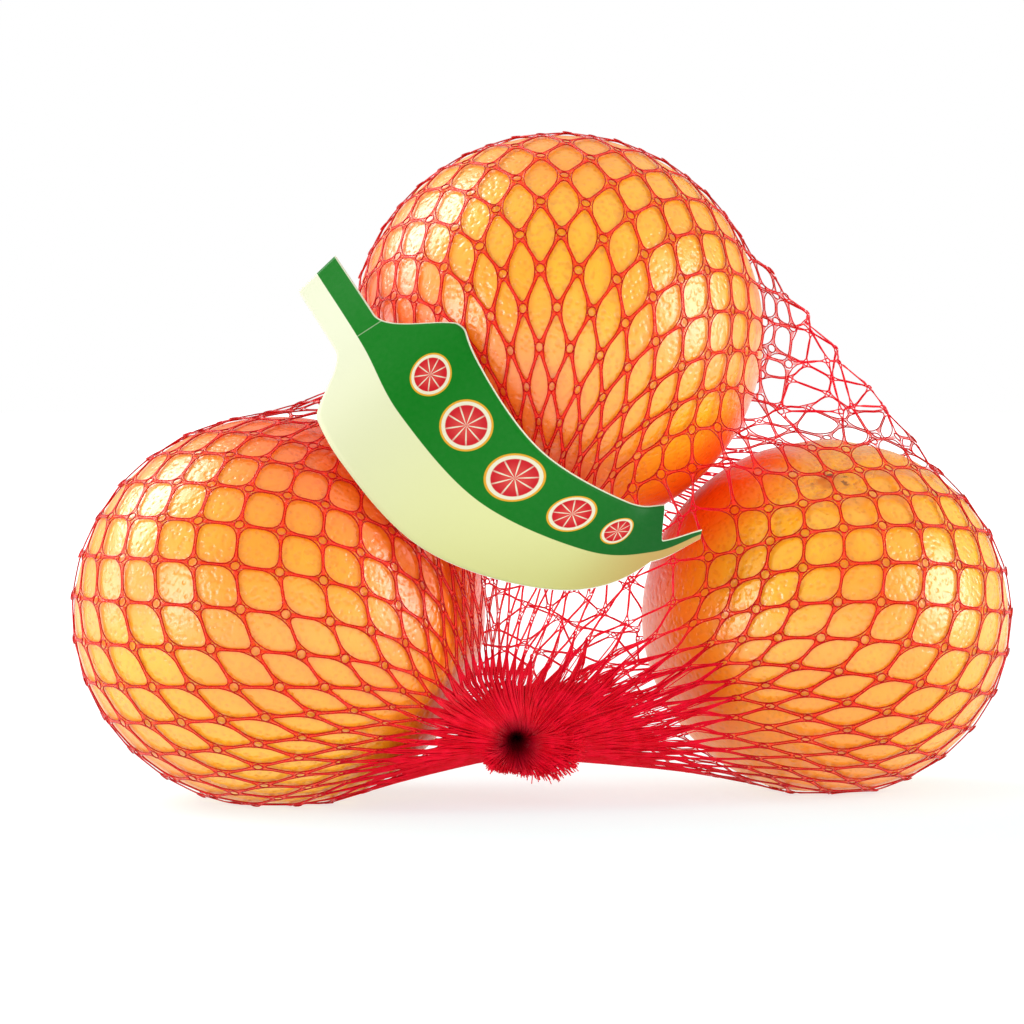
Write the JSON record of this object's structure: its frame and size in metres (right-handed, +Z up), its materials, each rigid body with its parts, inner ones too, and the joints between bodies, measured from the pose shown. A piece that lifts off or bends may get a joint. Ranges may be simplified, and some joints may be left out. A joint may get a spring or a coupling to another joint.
{
  "type": "net of grapefruit",
  "caption": "Grapefruit stacked in a knitted plastic tube net that is gathered front and back, with a bent card label across the front.",
  "frame": {"origin": "middle of the bounding box's underside, on the surface it rests on", "axes": "+X along the row of the two lower fruit, to the right as seen from the front; -Y to the front, where the label is; +Z up"},
  "size_m": [0.224, 0.1208, 0.1579],
  "materials": {
    "net": "satin",
    "card": "satin"
  },
  "bodies": {
    "root": {"net_bag": "net", "label": "card"}
  },
  "joints": []
}
